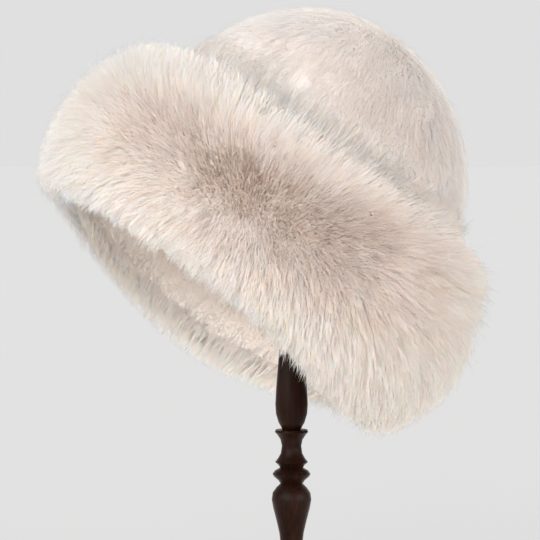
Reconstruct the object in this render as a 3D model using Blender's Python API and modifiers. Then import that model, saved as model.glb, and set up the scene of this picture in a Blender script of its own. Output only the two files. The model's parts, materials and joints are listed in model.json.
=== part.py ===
# A deep fur bucket hat, tilted on the knob of a turned wooden stand.
# Metres, +Z up. The origin is the middle of the stand's underside, and the hat leans towards +X.
import math
from collections import namedtuple

import bmesh
import bpy
import numpy as np
from mathutils import Vector
from mathutils.bvhtree import BVHTree

# Clearance between pieces that touch
CLEARANCE = 0.0003

# Hide of the hat, measured outside
CROWN_RADIUS = 0.0900       # where crown and brim are sewn
CROWN_HEIGHT = 0.104        # seam to top
BRIM_REACH = 0.061          # how far the rim stands out past the seam
BRIM_DEPTH = 0.109          # how far the rim lies below the seam
HIDE_WALL = 0.0025
HEAD_OVAL = 0.004           # extra radius from front to back

# How the soft hide bends; turns go round the hat from its low side over the far side
CROWN_SLIP = 0.0045         # how far the top of the crown slips towards the hat's high side
FAR_DROOP = 0.034           # how much lower the brim hangs at the far side
NEAR_DROOP = 0.004          # how much lower it hangs at the near side
HIGH_LIFT = 0.018           # how much of that is raised again towards the high side
LOBE_DROP = 0.010           # how much lower still it hangs between the near and the low side
LOBE_TURN = 322.0           # middle of that lobe, in degrees
LOBE_WIDTH = 30.0
LOW_SLIP = 0.005            # how far the rim slips towards the low side
LOW_TUCK = 0.010            # how far its edge folds in again there
LOW_PRESS = 0.005           # how far the bulge above it is pressed in, level
PRESS_PEAK = 9.48           # makes the most of it LOW_PRESS, a quarter of the way down

# Fur
CROWN_PILE = 0.0145         # depth on top of the crown
BRIM_PILE = 0.0350          # depth on the brim
UNDER_PILE = 0.0060         # depth under the brim
LOCK_SHARE = 0.36           # part of the depth that is loose locks
LOCK_LEAN = 0.0120          # how far the lock tips are combed along the hide
LOCK_SPREAD = 0.28          # how unequal the locks are
FUR_SEED = 11

# Pose of the hat on the stand
LEAN_SIDE = 34.5            # degrees towards +X
LEAN_BACK = 3.5             # degrees towards +Y
SEAM_OFFSET_X = 0.0125      # middle of the seam from the post
SEAM_OFFSET_Y = -0.0015

# Stand, with its heights from the underside of the base
POST_HEIGHT = 0.3420        # to the top of the post
TURNING_HEIGHT = 0.2000     # to the top of its turned part
POST_RADIUS = 0.0147        # at the widest turning
KNOB_RADIUS = 0.0350
KNOB_SEAT_RADIUS = 0.0130   # flat under the knob
BASE_RADIUS = 0.0760
BASE_THICKNESS = 0.0130
BASE_EDGE = 0.0040          # rounding of the base's upper edge

# How finely the surfaces are divided
RING_STEPS = 48             # round the hat
HALF_RINGS_WITHIN = 0.64    # share of the crown's radius where rings have half the steps
QUARTER_RINGS_WITHIN = 0.30
HIDE_ROWS = 7
CROWN_LOCK_ROWS = 11
BRIM_LOCK_ROWS = 11
POST_STEPS = 20
BASE_STEPS = 32
KNOB_ROWS = 12
EDGE_ROWS = 4
MERGE_DISTANCE = 0.00001
SEAT_TRIALS = 40            # halvings of the hat's height over the knob

# One row for each section of the hide, top to seam: height and radius as shares of the crown,
# pile as the way from the crown's depth of fur to the brim's, angle of the pile above level,
# and comb, from -1 up towards the crown to 1 down to the rim
CrownSection = namedtuple("CrownSection", "up out pile angle comb")
CROWN_SECTIONS = (
    CrownSection(1.000, 0.000, 0.00, 90, 0.6),
    CrownSection(0.970, 0.300, 0.00, 78, 0.8),
    CrownSection(0.880, 0.555, 0.00, 63, 0.9),
    CrownSection(0.720, 0.770, 0.10, 50, 0.9),
    CrownSection(0.540, 0.905, 0.30, 43, 0.7),
    CrownSection(0.340, 0.975, 0.60, 38, 0.4),
    CrownSection(0.160, 0.995, 0.88, 34, 0.0),
    CrownSection(0.000, 1.000, 1.12, 31, 0.0),
)

# Seam to rim: drop and reach as shares of the brim, pile as a share of its depth of fur,
# angle and comb as on the crown
BrimSection = namedtuple("BrimSection", "down out pile angle comb")
BRIM_SECTIONS = (
    BrimSection(0.00, 0.000, 1.08, 31, 0.0),
    BrimSection(0.04, 0.030, 1.10, 32, 0.0),
    BrimSection(0.11, 0.310, 1.26, 39, -0.3),
    BrimSection(0.25, 0.600, 1.26, 41, -0.2),
    BrimSection(0.43, 0.810, 1.18, 32, 0.3),
    BrimSection(0.64, 0.920, 1.05, 20, 0.8),
    BrimSection(0.84, 0.960, 0.86, 4, 1.0),
    BrimSection(1.00, 0.930, 0.66, -14, 1.0),
)

# The fur's turn round the rim's edge, with the same columns as far as they apply
RimTurn = namedtuple("RimTurn", "pile angle comb")
RIM_TURNS = (
    RimTurn(0.54, -38, 0.8),
    RimTurn(0.44, -66, 0.5),
)

# The turned part of the post from its foot up: height as a share of TURNING_HEIGHT, radius as a
# share of POST_RADIUS. A plain shaft goes on from its top
PostSection = namedtuple("PostSection", "up out")
POST_SECTIONS = (
    PostSection(0.079, 1.20),
    PostSection(0.101, 1.12),
    PostSection(0.124, 0.70),
    PostSection(0.157, 0.53),
    PostSection(0.213, 0.62),
    PostSection(0.258, 0.76),
    PostSection(0.304, 0.92),
    PostSection(0.337, 1.00),
    PostSection(0.363, 0.95),
    PostSection(0.383, 0.76),
    PostSection(0.397, 0.56),
    PostSection(0.410, 0.68),
    PostSection(0.424, 0.90),
    PostSection(0.433, 0.96),
    PostSection(0.445, 0.84),
    PostSection(0.456, 0.58),
    PostSection(0.466, 0.66),
    PostSection(0.477, 0.83),
    PostSection(0.491, 0.68),
    PostSection(0.510, 0.54),
    PostSection(0.538, 0.49),
    PostSection(0.561, 0.56),
    PostSection(0.579, 0.72),
    PostSection(0.589, 0.845),
    PostSection(0.597, 0.80),
    PostSection(0.5985, 0.46),
    PostSection(0.625, 0.66),
    PostSection(0.657, 0.79),
    PostSection(0.693, 0.82),
    PostSection(0.760, 0.77),
    PostSection(0.880, 0.64),
    PostSection(1.000, 0.54),
)

HAT_CREAM = (0.83, 0.76, 0.70, 1.0)
HAT_WARM = (0.72, 0.62, 0.55, 1.0)
HIDE_BEIGE = (0.62, 0.50, 0.41, 1.0)
DARK_WOOD = (0.035, 0.018, 0.013, 1.0)


def start_empty():
    for item in list(bpy.data.objects):
        bpy.data.objects.remove(item, do_unlink=True)


def make_material(name, colour, roughness):
    material = bpy.data.materials.new(name)
    material.use_nodes = True
    shader = material.node_tree.nodes["Principled BSDF"]
    shader.inputs["Base Color"].default_value = colour
    shader.inputs["Roughness"].default_value = roughness
    shader.inputs["Metallic"].default_value = 0.0
    return material


def add_object(name, mesh, material, collection):
    mesh.materials.append(material)
    item = bpy.data.objects.new(name, mesh)
    collection.objects.link(item)
    return item


def smooth_rows(table, count):
    # Even steps through a table's rows on a Catmull-Rom curve
    values = np.array(table, dtype=float)
    padded = np.vstack((2 * values[0] - values[1], values, 2 * values[-1] - values[-2]))
    rows = []
    for place in np.linspace(0, len(values) - 1, count):
        index = min(int(place), len(values) - 2)
        t = place - index
        a, b, c, d = padded[index:index + 4]
        bend = 2 * a - 5 * b + 4 * c - d
        twist = 3 * b - a - 3 * c + d
        rows.append(0.5 * (2 * b + (c - a) * t + bend * t ** 2 + twist * t ** 3))
    return rows


def crown_hide(count):
    # Rows of radius, height, fur depth, fur angle and comb
    rows = []
    for up, out, pile, angle, comb in smooth_rows(CROWN_SECTIONS, count):
        radius = max(out, 0.0) * CROWN_RADIUS
        height = BRIM_DEPTH + up * CROWN_HEIGHT
        depth = CROWN_PILE + pile * (BRIM_PILE - CROWN_PILE)
        rows.append((radius, height, depth, angle, comb))
    return rows


def brim_hide(count):
    rows = []
    for down, out, pile, angle, comb in smooth_rows(BRIM_SECTIONS, count):
        radius = CROWN_RADIUS + out * BRIM_REACH
        height = BRIM_DEPTH * (1 - down)
        rows.append((radius, height, pile * BRIM_PILE, angle, comb))
    return rows


def section_run(rows):
    # The section's points, and its direction at each, from the top down
    points = np.array([row[:2] for row in rows])
    along = np.gradient(points, axis=0)
    along /= np.linalg.norm(along, axis=1)[:, None]
    return points, along


def offset_rows(rows, distance):
    # The section moved outwards by a distance, square to its own line
    points, along = section_run(rows)
    outward = np.stack((-along[:, 1], along[:, 0]), axis=1)
    if points[0, 0] < CLEARANCE:
        outward[0] = (0.0, 1.0)
    return points + outward * distance


def crown_slip(height):
    rise = max((height - BRIM_DEPTH) / CROWN_HEIGHT, 0.0)
    return -CROWN_SLIP * rise ** 1.5


def brim_hang(turn):
    # How much lower the rim hangs at a turn round the hat
    if math.sin(turn) > 0:
        return FAR_DROOP * math.sin(turn) ** 2
    near = NEAR_DROOP - HIGH_LIFT * (1 - math.cos(turn)) / 2
    return near * math.sin(turn) ** 2


def lobe_hang(turn):
    off = (math.degrees(turn) - LOBE_TURN + 180) % 360 - 180
    return LOBE_DROP * math.exp(-(off / LOBE_WIDTH) ** 2)


def low_bend(turn, sag):
    # How far the low side moves in and down
    low = max(math.cos(turn), 0.0) ** 2
    fold = min(sag, 1.0)
    tuck = LOW_TUCK * low * fold ** 2
    press = LOW_PRESS * low * PRESS_PEAK * fold * (1 - fold) ** 3
    level = math.radians(LEAN_SIDE)
    return tuck + press * math.cos(level), press * math.sin(level)


def ring(radius, height):
    # An oval ring of the hat, bent as the soft hide is
    slip = crown_slip(height)
    if radius < CLEARANCE:
        return [Vector((slip, 0, height))]
    steps = RING_STEPS
    if radius < QUARTER_RINGS_WITHIN * CROWN_RADIUS:
        steps = RING_STEPS // 4
    elif radius < HALF_RINGS_WITHIN * CROWN_RADIUS:
        steps = RING_STEPS // 2
    sag = max((BRIM_DEPTH - height) / BRIM_DEPTH, 0.0)
    points = []
    for step in range(steps):
        turn = 2 * math.pi * step / steps
        inwards, down = low_bend(turn, sag)
        points.append(Vector((
            radius * math.cos(turn) + slip + LOW_SLIP * sag - inwards,
            radius * (1 + HEAD_OVAL / CROWN_RADIUS) * math.sin(turn),
            height - (brim_hang(turn) + lobe_hang(turn)) * sag - down,
        )))
    return points


def bridge(bm, first, second):
    # Faces between a ring and a pole, or a ring with as many points, half or twice as many
    if len(first) > len(second):
        first, second = second, first
    if len(first) == 1:
        turned_on = second[1:] + second[:1]
        return [bm.faces.new((first[0], here, following)) for here, following in zip(second, turned_on)]
    faces = []
    ratio = len(second) // len(first)
    for index, here in enumerate(first):
        following = first[(index + 1) % len(first)]
        opposite = [second[(index * ratio + step) % len(second)] for step in range(ratio, -1, -1)]
        faces.append(bm.faces.new([here, following] + opposite))
    return faces


def loft(bm, rings, closed):
    loops = [[bm.verts.new(point) for point in points] for points in rings]
    bands = []
    for first, second in zip(loops, loops[1:]):
        bands.append(bridge(bm, first, second))
    if closed:
        bands.append(bridge(bm, loops[-1], loops[0]))
    return bands


def shell_mesh(name, points):
    bm = bmesh.new()
    loft(bm, [ring(radius, height) for radius, height in points], closed=False)
    bmesh.ops.recalc_face_normals(bm, faces=bm.faces)
    mesh = bpy.data.meshes.new(name)
    bm.to_mesh(mesh)
    bm.free()
    return mesh


def add_shell(name, points, wall, material, collection):
    item = add_object(name, shell_mesh(name, points), material, collection)
    solid = item.modifiers.new("Wall", "SOLIDIFY")
    solid.thickness = wall
    solid.offset = -1
    solid.use_even_offset = True
    return item


def fur_mesh(name, outer, inner, closed):
    # outer: rows of radius, height, lock length, lock angle and comb; inner: radius and height
    chance = np.random.default_rng(FUR_SEED + len(name))
    bm = bmesh.new()
    rings = [ring(row[0], row[1]) for row in outer]
    rings += [ring(radius, height) for radius, height in inner]
    bands = loft(bm, rings, closed)
    bmesh.ops.recalc_face_normals(bm, faces=bm.faces)
    for upper, lower, faces in zip(outer, outer[1:], bands):
        length, angle, comb = [(above + below) / 2 for above, below in zip(upper[2:], lower[2:])]
        down = Vector((lower[0] - upper[0], lower[1] - upper[1]))
        down.normalize()
        pokes = bmesh.ops.poke(bm, faces=faces)
        for vertex in pokes["verts"]:
            around = math.atan2(vertex.co.y, vertex.co.x)
            size = 1 + LOCK_SPREAD * chance.uniform(-1, 1)
            sideways = LOCK_LEAN * LOCK_SPREAD * chance.uniform(-1, 1)
            out = length * math.cos(math.radians(angle)) + LOCK_LEAN * comb * down.x
            up = length * math.sin(math.radians(angle)) + LOCK_LEAN * comb * down.y
            vertex.co += Vector((
                size * out * math.cos(around) - sideways * math.sin(around),
                size * out * math.sin(around) + sideways * math.cos(around),
                size * up,
            ))
    mesh = bpy.data.meshes.new(name)
    bm.to_mesh(mesh)
    bm.free()
    return mesh


def backing_row(row):
    # A row moved out to the top of the dense fur, with the length left for the locks
    radius, height, depth, angle, comb = row
    dense = depth * (1 - LOCK_SHARE)
    tilt = math.radians(angle)
    radius += dense * math.cos(tilt)
    height += dense * math.sin(tilt)
    return radius, height, depth * LOCK_SHARE, angle, comb


def make_crown_fur(material, collection):
    outer = [backing_row(row) for row in crown_hide(CROWN_LOCK_ROWS)]
    inner = [tuple(point) for point in offset_rows(crown_hide(HIDE_ROWS), CLEARANCE)]
    seam = math.radians(CROWN_SECTIONS[-1].angle)
    lift = Vector((-math.sin(seam), math.cos(seam))) * CLEARANCE
    outer[-1] = (outer[-1][0] + lift.x, outer[-1][1] + lift.y) + outer[-1][2:]
    inner[-1] = (inner[-1][0], inner[-1][1] + CLEARANCE / math.cos(seam))
    mesh = fur_mesh("crown_fur", outer, inner[::-1], closed=False)
    return add_object("crown_fur", mesh, material, collection)


def make_brim_fur(material, collection):
    outer = [backing_row(row) for row in brim_hide(BRIM_LOCK_ROWS)]
    rim_radius, rim_height = CROWN_RADIUS + BRIM_REACH, 0.0
    for turn in RIM_TURNS:
        outer.append(backing_row((rim_radius, rim_height, turn.pile * BRIM_PILE, turn.angle, turn.comb)))
    hide = brim_hide(HIDE_ROWS)
    directions = section_run(hide)[1]
    past_edge = directions[-1] * 2 * CLEARANCE
    inner = [tuple(point) for point in offset_rows(hide, CLEARANCE)]
    inner.append(tuple(offset_rows(hide, CLEARANCE)[-1] + past_edge))
    inner.append(tuple(offset_rows(hide, -HIDE_WALL)[-1] + past_edge))
    mesh = fur_mesh("brim_fur", outer, inner[::-1], closed=True)
    return add_object("brim_fur", mesh, material, collection)


def make_under_brim_fur(material, collection):
    # From just inside the seam to the rim, against the inside of the hide
    points = offset_rows(brim_hide(HIDE_ROWS), -(HIDE_WALL + CLEARANCE))[1:]
    return add_shell("under_brim_fur", points, UNDER_PILE, material, collection)


def turned(name, profile, steps, material, collection):
    # The profile runs down the outer side from the axis to the axis
    bm = bmesh.new()
    points = [bm.verts.new((radius, 0, height)) for radius, height in profile]
    for first, second in zip(points, points[1:]):
        bm.edges.new((first, second))
    mesh = bpy.data.meshes.new(name)
    bm.to_mesh(mesh)
    bm.free()
    item = add_object(name, mesh, material, collection)
    screw = item.modifiers.new("Turning", "SCREW")
    screw.axis = "Z"
    screw.steps = steps
    screw.render_steps = steps
    screw.use_merge_vertices = True
    screw.merge_threshold = MERGE_DISTANCE
    screw.use_smooth_shade = True
    return item


def make_post(material, collection):
    foot = BASE_THICKNESS + CLEARANCE
    outline = [(section.out * POST_RADIUS, section.up * TURNING_HEIGHT) for section in POST_SECTIONS]
    outline[0] = (outline[0][0], foot)
    outline.append((outline[-1][0], POST_HEIGHT))
    profile = [(0.0, POST_HEIGHT)] + outline[::-1] + [(0.0, foot)]
    turned("stand_post", profile, POST_STEPS, material, collection)


def make_base(material, collection):
    profile = [(0.0, BASE_THICKNESS)]
    for turn in np.linspace(math.pi / 2, 0.0, EDGE_ROWS + 1):
        profile.append((
            BASE_RADIUS - BASE_EDGE + BASE_EDGE * math.cos(turn),
            BASE_THICKNESS - BASE_EDGE + BASE_EDGE * math.sin(turn),
        ))
    profile += [(BASE_RADIUS, 0.0), (0.0, 0.0)]
    turned("stand_base", profile, BASE_STEPS, material, collection)


def knob_middle():
    # The knob sits on the post's flat top by the flat under it
    drop = math.sqrt(KNOB_RADIUS ** 2 - KNOB_SEAT_RADIUS ** 2)
    return Vector((0, 0, POST_HEIGHT + CLEARANCE + drop))


def make_knob(material, collection):
    middle = knob_middle().z
    lowest = math.asin(KNOB_SEAT_RADIUS / KNOB_RADIUS) - math.pi / 2
    turns = np.linspace(math.pi / 2, lowest, KNOB_ROWS)[1:]
    profile = [(0.0, middle + KNOB_RADIUS)]
    profile += [(KNOB_RADIUS * math.cos(turn), middle + KNOB_RADIUS * math.sin(turn)) for turn in turns]
    profile.append((0.0, profile[-1][1]))
    turned("stand_knob", profile, POST_STEPS, material, collection)


def seat_hat(seat, crown):
    # Lowers the hat until the inside of its crown is one clearance above the knob
    bpy.context.view_layer.update()
    graph = bpy.context.evaluated_depsgraph_get()
    tree = BVHTree.FromObject(crown, graph)
    knob = knob_middle()
    turned_back = seat.rotation_euler.to_matrix().inverted()
    clear = seat.location.z
    touching = clear - CROWN_HEIGHT
    for _ in range(SEAT_TRIALS):
        middle = (clear + touching) / 2
        inside = turned_back @ (knob - Vector((seat.location.x, seat.location.y, middle)))
        gap = tree.find_nearest(inside)[3] - KNOB_RADIUS
        if gap > CLEARANCE:
            clear = middle
        else:
            touching = middle
    seat.location.z = clear


def make_hide(collection):
    crown_hide_material = make_material("crown hide", HIDE_BEIGE, 0.85)
    crown_points = [row[:2] for row in crown_hide(HIDE_ROWS)]
    crown = add_shell("crown", crown_points, HIDE_WALL, crown_hide_material, collection)
    brim_hide_material = make_material("brim hide", HIDE_BEIGE, 0.85)
    brim_points = [row[:2] for row in brim_hide(HIDE_ROWS)]
    brim_points[0] = (brim_points[0][0], brim_points[0][1] - CLEARANCE)
    brim = add_shell("brim", brim_points, HIDE_WALL, brim_hide_material, collection)
    return crown, brim


def make_hat(collection):
    seat = bpy.data.objects.new("hat_seat", None)
    collection.objects.link(seat)
    seat.rotation_euler = (math.radians(-LEAN_BACK), math.radians(LEAN_SIDE), 0)
    seam = Vector((SEAM_OFFSET_X, SEAM_OFFSET_Y, knob_middle().z))
    seat.location = seam - seat.rotation_euler.to_matrix() @ Vector((0, 0, BRIM_DEPTH))

    crown, brim = make_hide(collection)
    pieces = [
        crown,
        brim,
        make_crown_fur(make_material("crown fur", HAT_CREAM, 0.9), collection),
        make_brim_fur(make_material("brim fur", HAT_CREAM, 0.9), collection),
        make_under_brim_fur(make_material("under brim fur", HAT_WARM, 0.95), collection),
    ]
    for piece in pieces:
        piece.parent = seat
    seat_hat(seat, crown)


def main():
    start_empty()
    collection = bpy.data.collections.new("fur bucket hat on a stand")
    bpy.context.scene.collection.children.link(collection)
    make_post(make_material("turned post wood", DARK_WOOD, 0.35), collection)
    make_base(make_material("base wood", DARK_WOOD, 0.45), collection)
    make_knob(make_material("knob wood", DARK_WOOD, 0.45), collection)
    make_hat(collection)


main()
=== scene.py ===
import json
import math

import bpy
import numpy as np
from mathutils import Euler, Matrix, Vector
from mathutils.kdtree import KDTree

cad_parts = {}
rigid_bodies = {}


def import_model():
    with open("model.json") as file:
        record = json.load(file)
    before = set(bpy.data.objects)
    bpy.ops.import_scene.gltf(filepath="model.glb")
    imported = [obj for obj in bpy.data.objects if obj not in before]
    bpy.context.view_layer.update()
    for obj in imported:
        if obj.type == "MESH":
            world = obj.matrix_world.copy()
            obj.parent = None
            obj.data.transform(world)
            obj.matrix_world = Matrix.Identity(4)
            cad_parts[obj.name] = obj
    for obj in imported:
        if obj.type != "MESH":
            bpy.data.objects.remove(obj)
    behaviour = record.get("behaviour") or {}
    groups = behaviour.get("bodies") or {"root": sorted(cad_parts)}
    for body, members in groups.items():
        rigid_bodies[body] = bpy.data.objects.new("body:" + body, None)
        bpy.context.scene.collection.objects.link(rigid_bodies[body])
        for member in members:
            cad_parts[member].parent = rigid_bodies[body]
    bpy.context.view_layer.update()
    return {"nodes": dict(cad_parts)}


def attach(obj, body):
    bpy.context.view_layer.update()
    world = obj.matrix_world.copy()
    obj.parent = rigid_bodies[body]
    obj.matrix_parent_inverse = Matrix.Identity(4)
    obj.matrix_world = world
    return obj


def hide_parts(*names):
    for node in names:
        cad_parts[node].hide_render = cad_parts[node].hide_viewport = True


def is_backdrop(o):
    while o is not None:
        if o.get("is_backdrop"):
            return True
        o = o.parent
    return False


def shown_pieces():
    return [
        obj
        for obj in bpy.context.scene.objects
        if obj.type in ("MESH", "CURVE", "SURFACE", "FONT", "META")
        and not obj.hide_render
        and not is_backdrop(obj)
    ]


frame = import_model()
print("frame loaded:", ", ".join(sorted(frame["nodes"])))


# helpers that every piece uses

def clearSelection():
    for item in bpy.context.scene.objects:
        item.select_set(False)


def pickOnly(piece):
    clearSelection()
    piece.select_set(True)
    bpy.context.view_layer.objects.active = piece


def applyAll(piece):
    pickOnly(piece)
    for modifier in list(piece.modifiers):
        bpy.ops.object.modifier_apply(modifier=modifier.name)


def copyOfNode(nodeName, newName):
    # the node itself is left alone: its copy is merged and shaped
    mesh = frame["nodes"][nodeName].data.copy()
    piece = bpy.data.objects.new(newName, mesh)
    bpy.context.scene.collection.objects.link(piece)
    mesh.name = newName
    pickOnly(piece)
    bpy.ops.object.mode_set(mode="EDIT")
    bpy.ops.mesh.select_all(action="SELECT")
    bpy.ops.mesh.remove_doubles(threshold=0.00002)
    bpy.ops.mesh.normals_make_consistent(inside=False)
    bpy.ops.object.mode_set(mode="OBJECT")
    return piece


def keepLargestPart(piece):
    pickOnly(piece)
    bpy.ops.object.mode_set(mode="EDIT")
    bpy.ops.mesh.select_all(action="SELECT")
    bpy.ops.mesh.separate(type="LOOSE")
    bpy.ops.object.mode_set(mode="OBJECT")
    parts = [item for item in bpy.context.selected_objects if item is not piece]
    largest = max([piece] + parts, key=lambda item: len(item.data.vertices))
    piece.data = largest.data
    for part in parts:
        bpy.data.objects.remove(part)


def dress(piece, material):
    piece.data.materials.clear()
    piece.data.materials.append(material)


def newMaterial(name, roughness, specular=0.3, sheen=0.0):
    material = bpy.data.materials.new(name)
    material.use_nodes = True
    shader = material.node_tree.nodes["Principled BSDF"]
    shader.inputs["Roughness"].default_value = roughness
    shader.inputs["Specular IOR Level"].default_value = specular
    shader.inputs["Sheen Weight"].default_value = sheen
    return material, shader


def addNode(material, kind, **values):
    node = material.node_tree.nodes.new(kind)
    for key, value in values.items():
        if hasattr(node, key):
            setattr(node, key, value)
        else:
            node.inputs[key].default_value = value
    return node


def link(material, output, socket):
    material.node_tree.links.new(output, socket)


def rampOf(material, source, stops):
    ramp = material.node_tree.nodes.new("ShaderNodeValToRGB")
    elements = ramp.color_ramp.elements
    while len(elements) < len(stops):
        elements.new(0.5)
    for element, (place, colour) in zip(elements, stops):
        element.position = place
        element.color = (*colour, 1.0)
    link(material, source, ramp.inputs["Fac"])
    return ramp.outputs["Color"]


def mathOf(material, operation, first, second=0.0):
    node = addNode(material, "ShaderNodeMath", operation=operation)
    link(material, first, node.inputs[0])
    node.inputs[1].default_value = second
    return node.outputs[0]


def noiseOf(material, coordinates, scale, detail=3.0, roughness=0.55):
    noise = addNode(material, "ShaderNodeTexNoise", Scale=scale, Detail=detail, Roughness=roughness)
    link(material, coordinates, noise.inputs["Vector"])
    return noise.outputs["Fac"]


def objectCoordinates(material, stretch=(1, 1, 1)):
    place = addNode(material, "ShaderNodeTexCoord")
    mapping = addNode(material, "ShaderNodeMapping", Scale=stretch)
    link(material, place.outputs["Object"], mapping.inputs["Vector"])
    return mapping.outputs["Vector"]


def mixOf(material, factor, first, second, how="MIX"):
    mix = material.node_tree.nodes.new("ShaderNodeMix")
    mix.data_type = "RGBA"
    mix.blend_type = how
    for value, socket in ((factor, mix.inputs[0]), (first, mix.inputs[6]), (second, mix.inputs[7])):
        if isinstance(value, bpy.types.NodeSocket):
            link(material, value, socket)
        elif isinstance(value, float):
            socket.default_value = value
        else:
            socket.default_value = (*value, 1.0)
    return mix.outputs[2]


def bumpOf(material, shader, height, strength, distance):
    bump = addNode(material, "ShaderNodeBump", Strength=strength, Distance=distance)
    link(material, height, bump.inputs["Height"])
    link(material, bump.outputs["Normal"], shader.inputs["Normal"])


# camera, light and floor

viewSettings = {
    "eye": (-0.016, -2.0, 0.330),
    "aim": (-0.016, 0.0, 0.238),
    "lens": 180.4,
    "paleGrey": (0.745, 0.745, 0.745),
    "worldStrength": 1.0,
    "floorSize": 80.0,
    "floorTone": 0.08,                 # how much of the lamps' light the pale floor sends back
    "floorGlow": 0.631,                # its own soft light, as on a studio light table
}

lampSettings = {                       # place, strength, softness in degrees and colour
    "keyLamp": ((-1.3, -2.2, 1.5), 1.75, 50, (1.0, 0.985, 0.97)),
    "topLamp": ((-0.2, 0.2, 2.0), 0.65, 70, (1.0, 0.985, 0.97)),
    "sideLamp": ((-2.1, -1.4, 0.06), 1.7, 60, (1.0, 0.985, 0.975)),
    "rightLamp": ((2.2, -1.6, 0.06), 4.3, 60, (1.0, 0.97, 0.94)),
    "faceLamp": ((-0.5, -2.4, 0.06), 1.7, 60, (1.0, 0.97, 0.94)),
    "backLamp": ((0.6, 2.3, 0.9), 0.7, 70, (1.0, 0.985, 0.97)),
}

lowLight = {                           # a soft panel below the brim that faces up
    "place": (-0.12, -0.08, 0.02),
    "size": 0.6,
    "power": 0.75,
    "colour": (1.0, 0.93, 0.86),
}


def setUpView():
    scene = bpy.context.scene
    scene.view_settings.view_transform = "Standard"
    eye, aim = Vector(viewSettings["eye"]), Vector(viewSettings["aim"])
    bpy.ops.object.camera_add(location=eye, rotation=(aim - eye).to_track_quat("-Z", "Y").to_euler())
    camera = bpy.context.object
    camera.name = "photoCamera"
    camera.data.lens = viewSettings["lens"]
    camera.data.sensor_width = 36.0
    scene.camera = camera
    world = bpy.data.worlds.new("studioGrey")
    world.use_nodes = True
    world.node_tree.nodes["Background"].inputs["Color"].default_value = (*viewSettings["paleGrey"], 1.0)
    world.node_tree.nodes["Background"].inputs["Strength"].default_value = viewSettings["worldStrength"]
    scene.world = world
    for name, (place, strength, softness, colour) in lampSettings.items():
        turn = (-Vector(place)).to_track_quat("-Z", "Y").to_euler()
        bpy.ops.object.light_add(type="SUN", location=place, rotation=turn)
        lamp = bpy.context.object
        lamp.name = name
        lamp.data.energy = strength
        lamp.data.angle = math.radians(softness)
        lamp.data.color = colour
    bpy.ops.object.light_add(type="AREA", location=lowLight["place"], rotation=(math.pi, 0, 0))
    panel = bpy.context.object
    panel.name = "lowPanel"
    panel.data.size = lowLight["size"]
    panel.data.energy = lowLight["power"]
    panel.data.color = lowLight["colour"]
    panel.visible_camera = False


def layFloor():
    clearSelection()
    bpy.ops.mesh.primitive_plane_add(size=viewSettings["floorSize"], location=(0, 0, 0))
    floor = bpy.context.object
    floor.name = "paleFloor"
    material, shader = newMaterial("pale studio floor", 0.8, 0.0)
    tone = viewSettings["floorTone"]
    cloud = noiseOf(material, objectCoordinates(material), 1.5)
    link(material, rampOf(material, cloud, [(0.3, (tone * 0.97,) * 3), (0.7, (tone * 1.03,) * 3)]),
         shader.inputs["Base Color"])
    shader.inputs["Emission Color"].default_value = (1.0, 1.0, 1.0, 1.0)
    shader.inputs["Emission Strength"].default_value = viewSettings["floorGlow"]
    dress(floor, material)
    floor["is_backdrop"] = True


setUpView()
layFloor()
print("camera, lamps and floor are in place")


# the turned stand

standSettings = {
    "postWidest": 0.0147,
    "turnedHeight": 0.2000,
    "postTop": 0.3420,
    "sides": 72,
    # height as a share of the turned height, radius as a share of the widest turning
    "postRows": [
        (0.0665, 1.20), (0.079, 1.20), (0.101, 1.12), (0.124, 0.70), (0.157, 0.53), (0.213, 0.62),
        (0.258, 0.76), (0.304, 0.92), (0.337, 1.00), (0.363, 0.95), (0.383, 0.76), (0.397, 0.56),
        (0.410, 0.68), (0.424, 0.90), (0.433, 0.96), (0.445, 0.84), (0.456, 0.58), (0.466, 0.66),
        (0.477, 0.83), (0.491, 0.68), (0.510, 0.54), (0.538, 0.49), (0.561, 0.56), (0.579, 0.72),
        (0.589, 0.845), (0.597, 0.80), (0.5985, 0.46), (0.625, 0.66), (0.657, 0.79), (0.693, 0.82),
        (0.760, 0.77), (0.880, 0.64), (1.000, 0.54), (1.710, 0.54),
    ],
    "knobRadius": 0.0350,
    "knobSeat": 0.0130,
    "baseRadius": 0.0760,
    "baseThickness": 0.0130,
    "baseEdge": 0.0040,
    "gap": 0.0003,                     # between the post and the knob
    "footChamfer": 0.0006,
    "knobRings": 30,
    "edgeRings": 7,
    "sharpFrom": 38,                   # degrees
}


def turnOnLathe(name, profile, sides):
    # a disc on the axis is drawn up ring by ring, each ring scaled to its turning
    clearSelection()
    radius, height = profile[0]
    bpy.ops.mesh.primitive_circle_add(vertices=sides, radius=radius, fill_type="NGON",
                                      location=(0, 0, height))
    piece = bpy.context.object
    piece.name = name
    piece.data.name = name
    bpy.ops.object.transform_apply(location=True, rotation=True, scale=True)
    bpy.ops.object.mode_set(mode="EDIT")
    bpy.ops.mesh.select_all(action="SELECT")
    for nextRadius, nextHeight in profile[1:]:
        bpy.ops.mesh.extrude_region_move(TRANSFORM_OT_translate={"value": (0, 0, nextHeight - height)})
        share = nextRadius / radius
        bpy.ops.transform.resize(value=(share, share, 1))
        radius, height = nextRadius, nextHeight
    bpy.ops.mesh.select_all(action="SELECT")
    bpy.ops.mesh.normals_make_consistent(inside=False)
    bpy.ops.object.mode_set(mode="OBJECT")
    bpy.ops.object.shade_smooth_by_angle(angle=math.radians(standSettings["sharpFrom"]))
    return piece


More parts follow.
